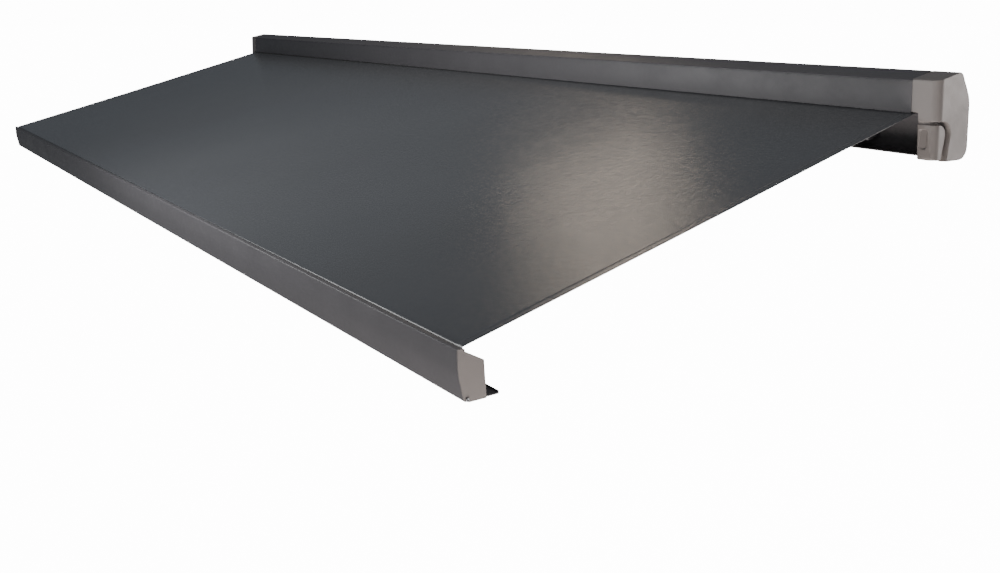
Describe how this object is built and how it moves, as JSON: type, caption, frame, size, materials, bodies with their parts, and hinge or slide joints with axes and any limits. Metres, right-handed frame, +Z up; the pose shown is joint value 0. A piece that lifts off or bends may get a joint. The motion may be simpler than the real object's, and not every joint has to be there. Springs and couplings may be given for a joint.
{
  "type": "full cassette folding arm awning",
  "caption": "Wall mounted awning with a closed casing, charcoal cloth on a motorised roller and folding arms behind a coated front bar, shown extended.",
  "frame": {"origin": "middle of the middle wall bracket's back face, on the wall plane", "axes": "+X along the casing, +Y into the wall, +Z up"},
  "size_m": [4.5, 1.4449, 0.5592],
  "materials": {
    "coated_profile": "satin anthracite powder coat with a fine texture",
    "coated_cap": "satin warm grey powder coat on a casting",
    "coated_arm": "satin anthracite powder coat",
    "arm_casting": "coated die casting, slightly rough",
    "bracket_zinc": "zinc plated steel",
    "roller_steel": "galvanised tube",
    "fastener_steel": "stainless steel",
    "pin_steel": "ground steel",
    "black_plastic": "moulded plastic",
    "seal_rubber": "matt rubber",
    "motor_grey": "drawn tube",
    "awning_cloth": "coated woven acrylic cloth, charcoal"
  },
  "bodies": {
    "casing": {"wall_bracket_left": "bracket_zinc", "wall_bracket_middle": "bracket_zinc", "wall_bracket_right": "bracket_zinc", "clamp_screw_left": "fastener_steel", "clamp_screw_middle": "fastener_steel", "clamp_screw_right": "fastener_steel", "rear_profile": "coated_profile", "top_profile": "coated_profile", "hood_top": "coated_profile", "hood_front": "coated_profile", "seal_rail": "coated_profile", "lip_seal": "seal_rubber", "end_cap_left": "coated_cap", "end_cap_right": "coated_cap", "bearing_plate_left": "bracket_zinc", "bearing_plate_right": "bracket_zinc", "idler_pin": "fastener_steel", "motor_body": "motor_grey", "motor_head": "black_plastic", "cable_gland": "black_plastic", "cloth": "awning_cloth", "shoulder_bracket_left": "arm_casting", "shoulder_bracket_right": "arm_casting", "shoulder_pin_left": "pin_steel", "shoulder_pin_right": "pin_steel"},
    "roller": {"roller_tube": "roller_steel", "motor_shaft": "pin_steel", "drive_wheel": "black_plastic", "limit_crown": "black_plastic", "idler_plug": "black_plastic", "roller_keder": "black_plastic"},
    "upper_arm_left": {"shoulder_knuckle_left": "arm_casting", "upper_tube_left": "coated_arm", "arm_spring_left": "pin_steel", "arm_cable_left": "pin_steel", "elbow_fork_left": "arm_casting", "elbow_pin_left": "pin_steel"},
    "forearm_left": {"elbow_tongue_left": "arm_casting", "fore_tube_left": "coated_arm", "wrist_knuckle_left": "arm_casting"},
    "upper_arm_right": {"shoulder_knuckle_right": "arm_casting", "upper_tube_right": "coated_arm", "arm_spring_right": "pin_steel", "arm_cable_right": "pin_steel", "elbow_fork_right": "arm_casting", "elbow_pin_right": "pin_steel"},
    "forearm_right": {"elbow_tongue_right": "arm_casting", "fore_tube_right": "coated_arm", "wrist_knuckle_right": "arm_casting"},
    "front_bar": {"front_profile": "coated_profile", "bar_keder": "black_plastic", "bar_cap_left": "coated_cap", "bar_cap_right": "coated_cap", "cap_screw_left": "fastener_steel", "cap_screw_right": "fastener_steel", "wrist_bracket_left": "arm_casting", "wrist_bracket_right": "arm_casting", "wrist_pin_left": "pin_steel", "wrist_pin_right": "pin_steel"}
  },
  "joints": [
    {"name": "left_shoulder", "type": "hinge", "parent": "casing", "child": "upper_arm_left", "pos_m": [-1.95, -0.059, -0.05184], "axis": [0, -0.2639, 0.9646], "range_deg": [0, 62.9], "deforming": ["cloth"]},
    {"name": "left_elbow", "type": "hinge", "parent": "upper_arm_left", "child": "forearm_left", "pos_m": [-1.61956, -0.7245, -0.2339], "axis": [0, -0.2639, 0.9646], "range_deg": [-125.8, 0]},
    {"name": "left_wrist", "type": "hinge", "parent": "forearm_left", "child": "front_bar", "pos_m": [-1.95, -1.39, -0.41596], "axis": [0, -0.2639, 0.9646], "range_deg": [0, 62.9]},
    {"name": "right_shoulder", "type": "hinge", "parent": "casing", "child": "upper_arm_right", "pos_m": [1.95, -0.059, -0.05184], "axis": [0, -0.2639, 0.9646], "range_deg": [-62.9, 0]},
    {"name": "right_elbow", "type": "hinge", "parent": "upper_arm_right", "child": "forearm_right", "pos_m": [1.61956, -0.7245, -0.2339], "axis": [0, -0.2639, 0.9646], "range_deg": [0, 125.8]},
    {"name": "roller_turn", "type": "hinge", "parent": "casing", "child": "roller", "pos_m": [0, -0.078, 0.05431], "axis": [1, 0, 0], "range_deg": [0, 2251.82]}
  ],
  "couplings": [
    {"joint": "left_elbow", "follows": "left_shoulder", "ratio": -2},
    {"joint": "left_wrist", "follows": "left_shoulder", "ratio": 1},
    {"joint": "right_shoulder", "follows": "left_shoulder", "ratio": -1},
    {"joint": "right_elbow", "follows": "left_shoulder", "ratio": 2},
    {"joint": "roller_turn", "follows": "left_shoulder", "ratio": 35.8}
  ]
}
